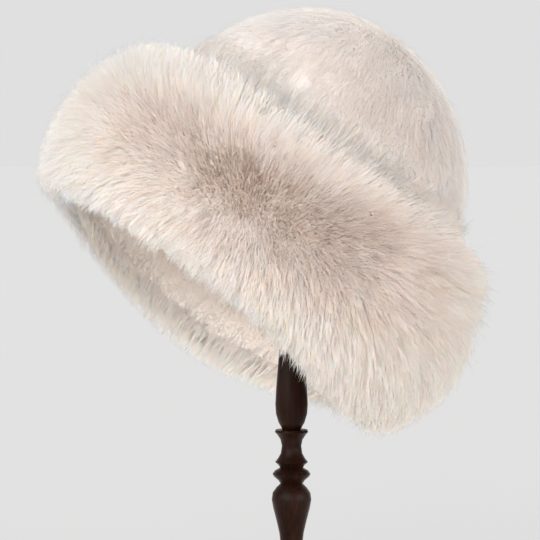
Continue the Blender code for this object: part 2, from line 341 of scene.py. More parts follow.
def darkWood():
    material, shader = newMaterial("dark turned wood", 0.34, 0.07)
    along = objectCoordinates(material, (1.0, 1.0, 0.06))
    grain = noiseOf(material, along, 420.0, 5.0, 0.6)
    broad = noiseOf(material, objectCoordinates(material, (1.0, 1.0, 0.25)), 60.0, 3.0)
    streak = rampOf(material, grain, [(0.30, (0.0075, 0.0026, 0.0013)), (0.52, (0.0125, 0.0042, 0.0022)),
                                      (0.75, (0.021, 0.0070, 0.0038))])
    cloud = rampOf(material, broad, [(0.35, (0.75, 0.72, 0.70)), (0.68, (1.25, 1.18, 1.12))])
    link(material, mixOf(material, 1.0, streak, cloud, "MULTIPLY"), shader.inputs["Base Color"])
    rough = addNode(material, "ShaderNodeMapRange")
    link(material, grain, rough.inputs["Value"])
    rough.inputs["To Min"].default_value = 0.28
    rough.inputs["To Max"].default_value = 0.46
    link(material, rough.outputs["Result"], shader.inputs["Roughness"])
    bumpOf(material, shader, grain, 0.25, 0.0004)
    return material


def makeStand():
    s = standSettings
    wood = darkWood()
    rows = [(out * s["postWidest"], up * s["turnedHeight"]) for up, out in s["postRows"]]
    post = turnOnLathe("standPost", rows, s["sides"])
    drop = math.sqrt(s["knobRadius"] ** 2 - s["knobSeat"] ** 2)
    middle = s["postTop"] + s["gap"] + drop
    lowest = math.asin(s["knobSeat"] / s["knobRadius"]) - math.pi / 2
    turns = np.linspace(lowest, math.radians(88), s["knobRings"])
    ball = [(s["knobRadius"] * math.cos(turn), middle + s["knobRadius"] * math.sin(turn)) for turn in turns]
    knob = turnOnLathe("standKnob", ball, s["sides"])
    edge, chamfer = s["baseEdge"], s["footChamfer"]
    foot = [(s["baseRadius"] - chamfer, 0.0), (s["baseRadius"], chamfer)]
    for turn in np.linspace(0.0, math.pi / 2, s["edgeRings"]):
        foot.append((s["baseRadius"] - edge + edge * math.cos(turn),
                     s["baseThickness"] - edge + edge * math.sin(turn)))
    base = turnOnLathe("standBase", foot, 2 * s["sides"])
    for piece, node in ((post, "stand_post"), (knob, "stand_knob"), (base, "stand_base")):
        dress(piece, wood)
        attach(piece, "root")
        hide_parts(node)


makeStand()
print("stand turned")


# the hide inside the hat

def hideMaterial():
    material, shader = newMaterial("soft beige hide", 0.82, 0.2, 0.15)
    place = objectCoordinates(material)
    broad = noiseOf(material, place, 28.0, 4.0)
    fine = noiseOf(material, place, 900.0, 4.0, 0.7)
    link(material, rampOf(material, broad, [(0.3, (0.76, 0.67, 0.60)), (0.7, (0.84, 0.76, 0.70))]),
         shader.inputs["Base Color"])
    bumpOf(material, shader, fine, 0.5, 0.0006)
    return material


def makeHide():
    material = hideMaterial()
    for node, name in (("crown", "crownHide"), ("brim", "brimHide")):
        piece = copyOfNode(node, name)
        dress(piece, material)
        rounding = piece.modifiers.new("Rounding", "SUBSURF")
        rounding.levels = rounding.render_levels = 1
        rounding.use_limit_surface = False
        applyAll(piece)
        bpy.ops.object.shade_smooth_by_angle(angle=math.radians(50))
        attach(piece, "root")
        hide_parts(node)


makeHide()
print("hide rounded")


# the form that the fur follows

hatForm = {
    "rimMiddle": (-0.0491231, -0.0081543, 0.2223377),
    "lean": (-3.5, 34.5, 0.0),         # degrees
    "crownRadius": 0.0900,
    "crownHeight": 0.104,
    "brimReach": 0.061,
    "brimDepth": 0.109,
    "oval": 0.004,                     # extra radius from front to back
    "farDroop": 0.034,                 # how much lower the brim hangs at its far side
    "nearDroop": 0.004,
    "highLift": 0.018,                 # how much of that is raised again towards the high side
    "lobe": (0.010, 322.0, 30.0),      # how much lower it hangs at the low near side, where, how wide
    "lowSlip": 0.005,                  # how far the rim slips towards the low side
    "lowTuck": 0.010,                  # how far its edge folds in there
    "lowPress": 0.005,                 # how far the bulge above it is pressed in, level
    "pressPeak": 9.48,
    "pressIn": 0.824,                  # the level press as seen in the leaning hat
    "pressDown": 0.566,
    "crownSlip": 0.0045,               # how far the top of the crown slips towards the high side
    "wall": 0.0025,
    "crownPile": 0.0145,
    "brimPile": 0.0350,
    "underPile": 0.0060,
    # top to seam: height and radius as shares of the crown, pile between crown's and brim's, angle
    "crownRows": [
        (1.000, 0.000, 0.00, 90), (0.970, 0.300, 0.00, 78), (0.880, 0.555, 0.00, 63),
        (0.720, 0.770, 0.10, 50), (0.540, 0.905, 0.30, 43), (0.340, 0.975, 0.60, 38),
        (0.160, 0.995, 0.88, 34), (0.000, 1.000, 1.12, 31),
    ],
    # seam to rim: drop and reach as shares of the brim, pile, angle
    "brimRows": [
        (0.00, 0.000, 1.08, 31), (0.04, 0.030, 1.10, 32), (0.11, 0.310, 1.26, 39),
        (0.25, 0.600, 1.26, 41), (0.43, 0.810, 1.18, 32), (0.64, 0.920, 1.05, 20),
        (0.84, 0.960, 0.86, 4), (1.00, 0.930, 0.66, -14),
    ],
    "rimTurns": [(0.54, -38), (0.44, -66), (0.36, -92), (0.29, -118), (0.25, -145), (0.24, -170)],
    "samples": 90,
    "rimSteps": 8,                     # between two of the rim's turns
    "runDepth": 0.8,                   # where in the fur the run is measured
    "spreadDepth": 0.6,                # where in the fur the hair is spread evenly
    "pileGap": 0.0003,                 # between the brim's hide and the pile below it
}


def throughRows(rows, count):
    # even steps on a Catmull-Rom curve through a table's rows
    values = np.array(rows, float)
    padded = np.vstack((2 * values[0] - values[1], values, 2 * values[-1] - values[-2]))
    places = np.linspace(0, len(values) - 1, count)
    index = np.minimum(places.astype(int), len(values) - 2)
    t = (places - index)[:, None]
    a, b, c, d = (padded[index + step] for step in range(4))
    return 0.5 * (2 * b + (c - a) * t + (2 * a - 5 * b + 4 * c - d) * t ** 2
                  + (3 * b - a - 3 * c + d) * t ** 3)


class FurSpace:
    # Places in the fur by three numbers: turn round the hat, run down its section in metres from the
    # top of the crown, and depth from 0 on the hide to 1 at the tips

    def __init__(self, form):
        self.form = form
        crown = throughRows(form["crownRows"], form["samples"])
        brim = throughRows(form["brimRows"], form["samples"])
        rows = [(max(out, 0) * form["crownRadius"], form["brimDepth"] + up * form["crownHeight"],
                 form["crownPile"] + pile * (form["brimPile"] - form["crownPile"]), angle)
                for up, out, pile, angle in crown]
        seamRow = len(rows) - 1
        rows += [(form["crownRadius"] + out * form["brimReach"], form["brimDepth"] * (1 - down),
                  pile * form["brimPile"], angle) for down, out, pile, angle in brim[1:]]
        rimRow = len(rows) - 1
        last = rows[-1]
        turns = [(last[2] / form["brimPile"], last[3])] + form["rimTurns"]
        for (pileA, angleA), (pileB, angleB) in zip(turns, turns[1:]):
            for share in np.linspace(0, 1, form["rimSteps"] + 1)[1:]:
                rows.append((last[0], last[1], (pileA + share * (pileB - pileA)) * form["brimPile"],
                             angleA + share * (angleB - angleA)))
        self.rows = np.array(rows)
        tips = self.tipLine(form["runDepth"])
        steps = np.linalg.norm(np.diff(tips, axis=0), axis=1)
        self.run = np.concatenate(([0.0], np.cumsum(steps)))
        self.seam, self.rim, self.end = self.run[seamRow], self.run[rimRow], self.run[-1]
        hide = self.rows[:rimRow + 1, :2]
        along = np.gradient(hide, axis=0)
        along /= np.linalg.norm(along, axis=1)[:, None]
        self.outward = np.stack((-along[:, 1], along[:, 0]), axis=1)
        self.hideRun = self.run[:rimRow + 1]
        self.turned = np.array(Euler([math.radians(a) for a in form["lean"]], "XYZ").to_matrix())
        self.middle = np.array(form["rimMiddle"])

    def tipLine(self, depth):
        tilt = np.radians(self.rows[:, 3])
        out = self.rows[:, 2] * depth
        return np.stack((self.rows[:, 0] + out * np.cos(tilt), self.rows[:, 1] + out * np.sin(tilt)), axis=1)

    def placed(self, turn, radius, height):
        form = self.form
        sag = np.maximum((form["brimDepth"] - height) / form["brimDepth"], 0)
        side = np.sin(turn)
        across = np.cos(turn)
        near = form["nearDroop"] - form["highLift"] * (1 - across) / 2
        hang = np.where(side > 0, form["farDroop"], near) * side ** 2
        lobeDrop, lobeTurn, lobeWidth = form["lobe"]
        off = (np.degrees(turn) - lobeTurn + 180) % 360 - 180
        hang = hang + lobeDrop * np.exp(-(off / lobeWidth) ** 2)
        fold = np.minimum(sag, 1)
        low = np.maximum(across, 0) ** 2
        press = form["lowPress"] * low * form["pressPeak"] * fold * (1 - fold) ** 3
        tuck = form["lowTuck"] * low * fold ** 2 + press * form["pressIn"]
        aboveSeam = np.maximum((height - form["brimDepth"]) / form["crownHeight"], 0)
        tuck = tuck + form["crownSlip"] * aboveSeam ** 1.5
        local = np.stack((radius * across + form["lowSlip"] * sag - tuck,
                          radius * (1 + form["oval"] / form["crownRadius"]) * side,
                          height - hang * sag - press * form["pressDown"]), axis=-1)
        return local @ self.turned.T + self.middle

    def at(self, turn, run, depth):
        radius, height, pile, angle = (np.interp(run, self.run, self.rows[:, k]) for k in range(4))
        tilt = np.radians(angle)
        return self.placed(turn, radius + depth * pile * np.cos(tilt), height + depth * pile * np.sin(tilt))

    def under(self, turn, run, depth):
        # the short pile on the inside of the brim, which runs on round the rim at the far side
        form = self.form
        radius, height = (np.interp(run, self.run, self.rows[:, k]) for k in range(2))
        out, up = (np.interp(run, self.hideRun, self.outward[:, k]) for k in range(2))
        past = np.maximum(run - self.rim, 0) * np.clip(0.2 + 1.2 * np.sin(turn), 0.1, 1)
        radius, height = radius + past * up, height - past * out
        away = form["wall"] + form["pileGap"] + depth * form["underPile"]
        return self.placed(turn, radius - away * out, height - away * up)

    def normal(self, place, turn, run, depth, inward=False):
        turnStep, runStep = 0.01, 0.0008
        across = place(turn + turnStep, run, depth) - place(turn - turnStep, run, depth)
        down = place(turn, run + runStep, depth) - place(turn, run - runStep, depth)
        found = np.cross(down, across)
        found /= np.maximum(np.linalg.norm(found, axis=1)[:, None], 1e-12)
        return -found if inward else found

    def pileDepth(self, run):
        return np.interp(run, self.run, self.rows[:, 2])

    def radiusAt(self, run):
        return np.interp(run, self.run, self.tipLine(self.form["spreadDepth"])[:, 0])

    def scattered(self, chance, count, start, stop):
        # turns and runs spread evenly over the fur between two runs
        grid = np.linspace(start, stop, 400)
        weight = np.maximum(self.radiusAt(grid), 0.001)
        share = np.concatenate(([0.0], np.cumsum((weight[1:] + weight[:-1]) / 2)))
        run = np.interp(chance.random(count) * share[-1], share, grid)
        return chance.random(count) * 2 * math.pi, run


def softNoise(places, size, seed):
    # smooth noise from 0 to 1 on a lattice of random values
    cells = 24
    lattice = np.random.default_rng(seed).random((cells, cells, cells))
    q = places / size + 100.0
    cell = np.floor(q).astype(int)
    t = q - cell
    t = t * t * (3 - 2 * t)
    total = np.zeros(len(places))
    for dx in (0, 1):
        for dy in (0, 1):
            for dz in (0, 1):
                weight = (np.where(dx, t[:, 0], 1 - t[:, 0]) * np.where(dy, t[:, 1], 1 - t[:, 1])
                          * np.where(dz, t[:, 2], 1 - t[:, 2]))
                corner = (cell + (dx, dy, dz)) % cells
                total += weight * lattice[corner[:, 0], corner[:, 1], corner[:, 2]]
    return total


fur = FurSpace(hatForm)
print("fur space: seam at %.3f, rim at %.3f, end at %.3f m" % (fur.seam, fur.rim, fur.end))


# where the fur is cream, where it is tan, and where shade is painted into it

# the parting of the brim's hair: turns in degrees, and how far below the seam it runs
crestLine = {
    "turns": [0, 60, 120, 180, 250, 275, 300, 330, 360],
    "below": [0.032, 0.050, 0.070, 0.085, 0.088, 0.077, 0.062, 0.044, 0.032],
    "middle": 262,
}

# tan and painted shade go from 0 to 1; sizes and widths are metres along the fur, or degrees round the hat
# near is painted shade of the brim on the crown's near side; least and patches are the fur's own tan
crownTanAndPaintedShade = {
    "least": 0.06, "near": 0.44, "nearTurn": 15, "nearWidth": 55,
    "patches": 0.16, "patchSize": 0.05, "fadeIn": 0.05, "fadeOut": (0.04, 0.015),
}
# the tan along the parting is partly the fur's colour, partly painted shade of hair seen end on
brimTanAndPaintedShade = {
    "least": 0.03, "allRound": 0.08, "above": 0.026, "below": 0.043, "left": 33, "right": 44,
    "plain": 0.60, "patches": 0.9, "patchSize": 0.040, "flecks": 0.9, "fleckSize": 0.006,
    "top": 0.20, "topWidth": 0.03, "low": 0.12, "lowTurn": 60, "lowWidth": 50, "lowFadeIn": 0.04,
}
# painted shade inside the brim: how far in it reaches, how it curves, and its patches
pilePaintedShade = {"reach": 0.050, "curve": 1.5, "patches": 0.1, "patchSize": 0.05}


def belowCrest(turn, run):
    return run - fur.seam - np.interp(np.degrees(turn) % 360, crestLine["turns"], crestLine["below"])


def offMiddle(turn):
    # degrees from the middle of the parting
    return (np.degrees(turn) - crestLine["middle"] + 180) % 360 - 180


def crownShade(turn, run, spots):
    # painted shade: a little darker over the near side, where the brim shadows the crown; it fades in from
    # the top and out near the seam
    s = crownTanAndPaintedShade
    broad = softNoise(spots, s["patchSize"], 5)
    near = np.exp(-((offMiddle(turn) - s["nearTurn"]) / s["nearWidth"]) ** 2)
    fades = [0.0, s["fadeIn"], fur.seam - s["fadeOut"][0], fur.seam - s["fadeOut"][1]]
    near = near * np.interp(run, fades, [0, 1, 1, 0])
    return np.clip(s["least"] + s["near"] * near + s["patches"] * (broad - 0.5), 0, 1)


def brimShade(turn, run, spots):
    # tan along the parting in soft patches, which also paints in the shade of hair seen down to its roots; a
    # little more at the seam and on the low near side
    s = brimTanAndPaintedShade
    below = belowCrest(turn, run)
    crest = np.exp(-(below / np.where(below < 0, s["above"], s["below"])) ** 2)
    broad, fine = softNoise(spots, s["patchSize"], 7), softNoise(spots, s["fleckSize"], 8)
    off = offMiddle(turn)
    around = np.exp(-(off / np.where(off < 0, s["left"], s["right"])) ** 2)
    around = s["allRound"] + (1 - s["allRound"]) * around
    tan = crest * around * (s["plain"] + s["patches"] * broad + s["flecks"] * (fine - 0.5))
    top = s["top"] * np.exp(-((run - fur.seam) / s["topWidth"]) ** 2)
    low = s["low"] * np.exp(-((off - s["lowTurn"]) / s["lowWidth"]) ** 2)
    low = low * np.clip(below / s["lowFadeIn"], 0, 1)
    return np.clip(s["least"] + tan + top + low, 0, 1)


def pileShade(turn, run, spots):
    # painted shade: darker and warmer deep inside the brim, towards the seam
    s = pilePaintedShade
    inside = np.clip((fur.rim - run) / s["reach"], 0, 1)
    broad = softNoise(spots, s["patchSize"], 5)
    return np.clip(inside ** s["curve"] + s["patches"] * (broad - 0.5), 0, 1)


def treeOf(spots):
    tree = KDTree(len(spots))
    for index, spot in enumerate(spots):
        tree.insert(spot, index)
    tree.balance()
    return tree


def shadeAttribute(piece, shade, place, start, stop):
    # each vertex takes the tan and painted shade of the fur that grows out over it
    chance = np.random.default_rng(71)
    turn, run = fur.scattered(chance, 9000, start, stop)
    spots = place(turn, run, hatForm["spreadDepth"])
    values = shade(turn, run, spots)
    tree = treeOf(spots)
    layer = piece.data.attributes.new(name="tanAndPaintedShade", type="FLOAT", domain="POINT")
    for index, vertex in enumerate(piece.data.vertices):
        layer.data[index].value = float(np.mean([values[found[1]] for found in tree.find_n(vertex.co, 4)]))


# the dense undercoat

# each undercoat's tan is mixed in by its field, painted shade included
undercoatSettings = {
    "crownUndercoat": {
        "node": "crown_fur", "slot": "crown_fur", "voxel": 0.0045, "smoothing": 16, "sink": 0.0012,
        "lumps": 0.0010, "lowSink": 0.0, "shade": crownShade, "start": 0.0, "stop": fur.seam,
        "cream": [(0.30, (0.80, 0.765, 0.745)), (0.72, (0.86, 0.835, 0.825))], "tan": (0.60, 0.52, 0.47),
    },
    "brimUndercoat": {
        "node": "brim_fur", "slot": "brim_fur", "voxel": 0.0055, "smoothing": 18, "sink": 0.0065,
        "lumps": 0.0030, "lowSink": 0.0040, "shade": brimShade, "start": fur.seam, "stop": fur.end,
        "cream": [(0.30, (0.89, 0.845, 0.81)), (0.72, (0.95, 0.91, 0.875))], "tan": (0.55, 0.435, 0.365),
    },
}


def undercoatMaterial(name, s):
    material, shader = newMaterial(name, 0.95, 0.05, 0.2)
    place = objectCoordinates(material)
    patches = noiseOf(material, place, 22.0, 3.0, 0.6)
    tufts = noiseOf(material, place, 240.0, 4.0, 0.7)
    cream = rampOf(material, patches, s["cream"])
    # the attribute mixes in the tan colour, which also stands for painted shade
    tan = addNode(material, "ShaderNodeAttribute", attribute_name="tanAndPaintedShade")
    coat = mixOf(material, tan.outputs["Fac"], cream, s["tan"])
    # painted shade: where the tufts are low in the bump, the colour is a little darker
    shade = rampOf(material, tufts, [(0.32, (0.95, 0.94, 0.93)), (0.62, (1.0, 1.0, 1.0))])
    link(material, mixOf(material, 1.0, coat, shade, "MULTIPLY"), shader.inputs["Base Color"])
    bumpOf(material, shader, tufts, 0.5, 0.002)
    return material


def sinkLow(piece, depth):
    # the undercoat lies deeper round the rim, where the hair is short
    spots = np.array([vertex.co[:] for vertex in piece.data.vertices]) - fur.middle
    height = (spots @ fur.turned)[:, 2]
    group = piece.vertex_groups.new(name="low")
    for index, share in enumerate(np.clip((0.012 - height) / 0.020, 0, 1)):
        if share > 0:
            group.add([index], float(share), "REPLACE")
    sink = piece.modifiers.new("Sink low", "DISPLACE")
    sink.vertex_group = group.name
    sink.strength = -depth
    sink.mid_level = 0.0
    even = piece.modifiers.new("Even low", "SMOOTH")
    even.vertex_group = group.name
    even.factor = 0.6
    even.iterations = 12
    applyAll(piece)


def makeUndercoat():
    for name, s in undercoatSettings.items():
        material = undercoatMaterial(name + " down", s)
        piece = copyOfNode(s["node"], name)
        remesh = piece.modifiers.new("Even", "REMESH")
        remesh.mode = "VOXEL"
        remesh.voxel_size = s["voxel"]
        soften = piece.modifiers.new("Soften", "SMOOTH")
        soften.factor = 0.7
        soften.iterations = s["smoothing"]
        sink = piece.modifiers.new("Sink", "DISPLACE")
        sink.strength = -s["sink"]
        sink.mid_level = 0.0
        texture = bpy.data.textures.new(name + "Lumps", "CLOUDS")
        texture.noise_scale = 0.012
        lumps = piece.modifiers.new("Lumps", "DISPLACE")
        lumps.texture = texture
        lumps.texture_coords = "LOCAL"
        lumps.strength = s["lumps"]
        lumps.mid_level = 0.5
        applyAll(piece)
        keepLargestPart(piece)
        if s["lowSink"]:
            sinkLow(piece, s["lowSink"])
        dress(piece, material)
        shadeAttribute(piece, s["shade"], fur.at, s["start"], s["stop"])
        for face in piece.data.polygons:
            face.use_smooth = True
        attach(piece, "root")
        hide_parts(s["node"])
        print(name, len(piece.data.polygons), "faces")


makeUndercoat()
print("undercoat laid")


# the hair

# the hair map's shades run from cream to tan, and some of the tan is painted shade
hairShades = 12                        # steps from cream to tan on the hair's own map
hairTones = 8                          # steps from olive to rose beside each other in every shade

hairShape = {
    "bend": 1.5,                       # how late a hair leans over on its way to the tip
    "fullPile": 0.040,                 # the depth of fur that hangs by the whole of a hair's hang
    "axisRadius": 0.012,               # nearer to the top, hair sways no further round
    "tuftSize": 0.0045,
    "tufts": (2.4, 0.7, 0.1, 1.5),     # gain, cut, least and most of the tufts in the fringe
    "fringeLevel": 0.6,
    "fringeNear": 0.4,                 # how much longer the fringe is on the near side
    "widths": (0.7, 0.6),
    "edgeOn": 0.15,                    # hair that points straight out takes another side
    "coatShading": (1.6, 0.5, 0.95),   # how far hair is shaded as one soft coat: gain, least, most
    "chartSides": (0.15, 0.85),
}


def hairMaterial(name, s):
    # across the map lie the shades, each with its tones, and up the map is root to tip
    material, shader = newMaterial(name, s["roughness"], 0.2, s["sheen"])
    shader.inputs["Subsurface Weight"].default_value = s["soft"]
    shader.inputs["Subsurface Radius"].default_value = (1.0, 0.88, 0.76)
    shader.inputs["Subsurface Scale"].default_value = s["softDepth"]
    chart = addNode(material, "ShaderNodeUVMap", uv_map="OFBake")
    split = addNode(material, "ShaderNodeSeparateXYZ")
    link(material, chart.outputs["UV"], split.inputs["Vector"])
    across = mathOf(material, "MULTIPLY", split.outputs["X"], float(hairShades))
    shade = mathOf(material, "DIVIDE", mathOf(material, "FLOOR", across), hairShades - 1.0)
    tone = mathOf(material, "FRACT", across)
    cream = rampOf(material, split.outputs["Y"], s["cream"])
    tan = rampOf(material, split.outputs["Y"], s["tan"])
    coat = mixOf(material, shade, cream, tan)
    tint = rampOf(material, tone, s["tones"])
    link(material, mixOf(material, 1.0, coat, tint, "MULTIPLY"), shader.inputs["Base Color"])
    return material


def pathsOf(s, place, chance, turn, run, length, levels):
    # each hair's points from root to tip: it rises from the pile, then lies over by its lean
    shape = hairShape
    lean, drift = s["flow"](turn, run)
    trim = s["trim"](turn, run, run + lean)
    length = length * trim
    halfway = fur.at(turn, run, 0.5)
    low = softNoise(halfway, s["swirlSize"], s["seed"] + 1) - 0.5
    high = softNoise(halfway, s["swirlSize"], s["seed"] + 2) - 0.5
    lean = lean * chance.uniform(*s["uneven"], len(run))
    lean = lean + 2 * high * s["swirl"] + chance.normal(0, s["stray"], len(run))
    sway = drift + 2 * low * s["swirl"] + chance.normal(0, s["stray"], len(run))
    deepest, shallowest = s["rootDepth"]
    rootDepth = deepest + chance.random(len(run)) * (shallowest - deepest)
    rootDepth = rootDepth * np.minimum(trim, 1)
    points = []
    for t in levels:
        bend = t ** shape["bend"]
        rise = math.sin(t * math.pi / 2) * (1 - s["lie"]) + t * s["lie"]
        here = np.clip(run + lean * bend, s["start"] - s["spill"], s["stop"] + s["spill"])
        here = np.clip(here, 0.0005, fur.end)
        across = turn + sway * bend / np.maximum(fur.radiusAt(here), shape["axisRadius"])
        depth = rootDepth + (length - rootDepth) * rise
        points.append(place(across, here, depth))
    points = np.stack(points, axis=1)
    outward = fur.normal(place, turn, run, 0.9, s.get("inward", False))
    shaded = place(turn, run, 1.0) - place(turn, run, 0.0)
    shaded /= np.linalg.norm(shaded, axis=1)[:, None]
    down = np.array((0.0, 0.0, -1.0))
    hang = down - outward * (outward @ down)[:, None]
    heavy = fur.pileDepth(run) / shape["fullPile"]
    rimward = np.clip((run - fur.rim) / s["fringeZone"] + 1, 0, 1)
    gain, cut, least, most = shape["tufts"]
    tufts = np.clip(gain * softNoise(halfway, shape["tuftSize"], 14) - cut, least, most)
    around = shape["fringeLevel"] - shape["fringeNear"] * np.sin(turn)
    fringe = s["fringe"] * rimward * around * chance.random(len(run)) * tufts
    for k, t in enumerate(levels):
        points[:, k] += hang * (s["hang"] * heavy * t ** 2)[:, None]
        points[:, k] -= fur.turned[:, 2] * (fringe * t ** shape["bend"])[:, None]
    return points, outward, shaded


def growHair(name, s, material):
    shape = hairShape
    chance = np.random.default_rng(s["seed"])
    place = fur.under if s.get("inward") else fur.at
    levels = s["levels"]
    turn, run = fur.scattered(chance, s["count"], s["start"], s["stop"])
    spots = place(turn, run, hatForm["spreadDepth"])
    shortest, longest = s["tipDepth"]
    length = shortest + chance.random(s["count"]) ** s["evenTips"] * (longest - shortest)
    wild = chance.random(s["count"]) < s["wildShare"]
    length = np.where(wild, length + s["wildReach"] * chance.random(s["count"]), length)
    points, outward, shaded = pathsOf(s, place, chance, turn, run, length, levels)

    # hairs gather into locks: each is drawn to the middle hair of the nearest lock
    lockTurn, lockRun = fur.scattered(chance, s["locks"], s["start"], s["stop"])
    lockLength = longest * (1 - s["lockUneven"] * chance.random(s["locks"]))
    lockPoints, _, _ = pathsOf(s, place, chance, lockTurn, lockRun, lockLength, levels)
    tree = treeOf(place(lockTurn, lockRun, hatForm["spreadDepth"]))
    nearest = np.array([tree.find(spot)[1] for spot in spots])
    weakest, strongest = s["lockPull"]
    pull = weakest + chance.random(s["count"]) * (strongest - weakest)
    pull = np.where(wild, 0.0, pull)
    for k, t in enumerate(levels):
        points[:, k] += (lockPoints[nearest, k] - points[:, k]) * (pull * t ** 2)[:, None]

    # a flat tapered strip for each hair, its face turned outwards with some roll
    strips = len(levels) - 1
    verts = np.zeros((s["count"], 2 * strips + 1, 3))
    normals = np.zeros_like(verts)
    width = s["width"] * (shape["widths"][0] + shape["widths"][1] * chance.random(s["count"]))
    roll = chance.normal(0, s["roll"], s["count"])
    for k in range(strips):
        ahead = points[:, k + 1] - points[:, max(k - 1, 0)]
        ahead /= np.maximum(np.linalg.norm(ahead, axis=1)[:, None], 1e-9)
        side = np.cross(ahead, outward)
        size = np.linalg.norm(side, axis=1)
        spare = np.cross(ahead, np.array((0.31, 0.27, 0.91)))
        side = np.where((size < shape["edgeOn"])[:, None], spare, side)
        side /= np.maximum(np.linalg.norm(side, axis=1)[:, None], 1e-9)
        lift = np.cross(side, ahead)
        side = side * np.cos(roll)[:, None] + lift * np.sin(roll)[:, None]
        half = (width * s["taper"][k] / 2)[:, None]
        verts[:, 2 * k] = points[:, k] - side * half
        verts[:, 2 * k + 1] = points[:, k] + side * half
        facing = np.cross(side, ahead)
        share = np.sum(facing * shaded, axis=1)
        gain, least, most = shape["coatShading"]
        toward = np.clip(gain * np.abs(share) + least, 0, 1) * most
        facing += (shaded * np.where(share < 0, -1, 1)[:, None] - facing) * toward[:, None]
        facing /= np.linalg.norm(facing, axis=1)[:, None]
        normals[:, 2 * k] = normals[:, 2 * k + 1] = facing
    verts[:, -1] = points[:, -1]
    normals[:, -1] = normals[:, -2]

    quads = [(2 * k, 2 * k + 1, 2 * k + 3, 2 * k + 2) for k in range(strips - 1)]
    tip = (2 * strips - 2, 2 * strips - 1, 2 * strips)
    corners = np.array([c for quad in quads for c in quad] + list(tip))
    sizes = np.array([4] * len(quads) + [3])
    each = 2 * strips + 1
    loops = (corners[None, :] + np.arange(s["count"])[:, None] * each).ravel()
    totals = np.tile(sizes, s["count"])
    starts = np.concatenate(([0], np.cumsum(totals)[:-1]))
    mesh = bpy.data.meshes.new(name)
    mesh.vertices.add(s["count"] * each)
    mesh.vertices.foreach_set("co", verts.astype(np.float32).ravel())
    mesh.loops.add(len(loops))
    mesh.loops.foreach_set("vertex_index", loops.astype(np.int32))
    mesh.polygons.add(len(totals))
    mesh.polygons.foreach_set("loop_start", starts.astype(np.int32))
    mesh.polygons.foreach_set("loop_total", totals.astype(np.int32))
    mesh.polygons.foreach_set("use_smooth", np.ones(len(totals), bool))

    # the hair's map: its shade and tone across, its height from root to tip
    shade, tone = s["tint"](turn, run, spots, chance)
    kind = np.round(shade * (hairShades - 1)) * hairTones + np.floor(tone * hairTones * 0.999)
    leftRight = np.array([side for k in range(strips) for side in shape["chartSides"]] + [0.5])
    upTo = np.array([levels[k] for k in range(strips) for _ in (0, 1)] + [levels[-1]]) * 0.98 + 0.01
    chart = np.stack(((kind[:, None] + leftRight[None, :]) / (hairShades * hairTones),
                      np.tile(upTo, (s["count"], 1))), axis=-1).reshape(-1, 2)
    layer = mesh.uv_layers.new(name="OFBake")
    layer.data.foreach_set("uv", chart[loops].astype(np.float32).ravel())
    mesh.update()
    mesh.validate()
    mesh.normals_split_custom_set_from_vertices(normals.reshape(-1, 3).tolist())

    piece = bpy.data.objects.new(name, mesh)
    bpy.context.scene.collection.objects.link(piece)
    dress(piece, material)
    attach(piece, "root")
    print(name, s["count"], "hairs")


# each look's tan also shows painted shade: on the crown's near side, along the brim's parting and deep inside
# the brim
hairLooks = {
    "crown": {"roughness": 0.6, "sheen": 0.15, "soft": 1.0, "softDepth": 0.006,
              "cream": [(0.0, (0.85, 0.825, 0.805)), (0.5, (0.88, 0.86, 0.85)), (1.0, (0.90, 0.885, 0.88))],
              "tan": [(0.0, (0.50, 0.41, 0.36)), (0.5, (0.60, 0.52, 0.47)), (1.0, (0.68, 0.61, 0.56))],
              "tones": [(0.0, (0.98, 0.975, 0.962)), (0.5, (1.0, 0.995, 0.99)), (1.0, (1.01, 0.99, 0.985))]},
    "brim": {"roughness": 0.55, "sheen": 0.15, "soft": 0.9, "softDepth": 0.0045,
             "cream": [(0.0, (0.94, 0.90, 0.87)), (0.45, (0.97, 0.945, 0.925)), (1.0, (0.98, 0.968, 0.96))],
             "tan": [(0.0, (0.40, 0.29, 0.22)), (0.5, (0.62, 0.50, 0.41)), (1.0, (0.88, 0.785, 0.70))],
             "tones": [(0.0, (0.965, 0.957, 0.938)), (0.5, (0.99, 0.985, 0.975)),
                       (1.0, (1.01, 0.98, 0.975))]},
    "under": {"roughness": 0.7, "sheen": 0.2, "soft": 1.0, "softDepth": 0.004,
              "cream": [(0.0, (0.93, 0.86, 0.80)), (0.5, (0.95, 0.895, 0.85)), (1.0, (0.965, 0.92, 0.88))],
              "tan": [(0.0, (0.52, 0.42, 0.36)), (0.5, (0.62, 0.52, 0.46)), (1.0, (0.72, 0.63, 0.57))],
              "tones": [(0.0, (0.97, 0.97, 0.955)), (0.5, (0.99, 0.985, 0.98)), (1.0, (1.01, 0.985, 0.975))]},
}


def brimFlow(turn, run):
    # hair leans away from the parting: up to the crown, down to the rim, and round to both sides
    lean = np.interp(belowCrest(turn, run), [-0.09, -0.06, -0.03, -0.01, 0.01, 0.03, 0.055],
                     [-0.020, -0.021, -0.010, -0.002, 0.001, 0.006, 0.012])
    lean = lean * np.interp(run, [fur.rim - 0.03, fur.rim, fur.end], [1.0, 0.7, 0.25])
    lean = lean - 0.008 * np.exp(-((run - fur.seam - 0.014) / 0.012) ** 2)
    off = offMiddle(turn)
    drift = 0.011 * np.clip(off / 60, -1, 1) * np.interp(np.abs(off), [0, 100, 160], [1, 1, 0])
    return lean, drift


def crownFlow(turn, run):
    lean = np.interp(run, [0.0, 0.03, 0.08, fur.seam - 0.02, fur.seam],
                     [0.008, 0.020, 0.022, 0.016, 0.006])
    return lean, 0.0


def pileFlow(turn, run):
    return np.full(len(run), 0.012), 0.0


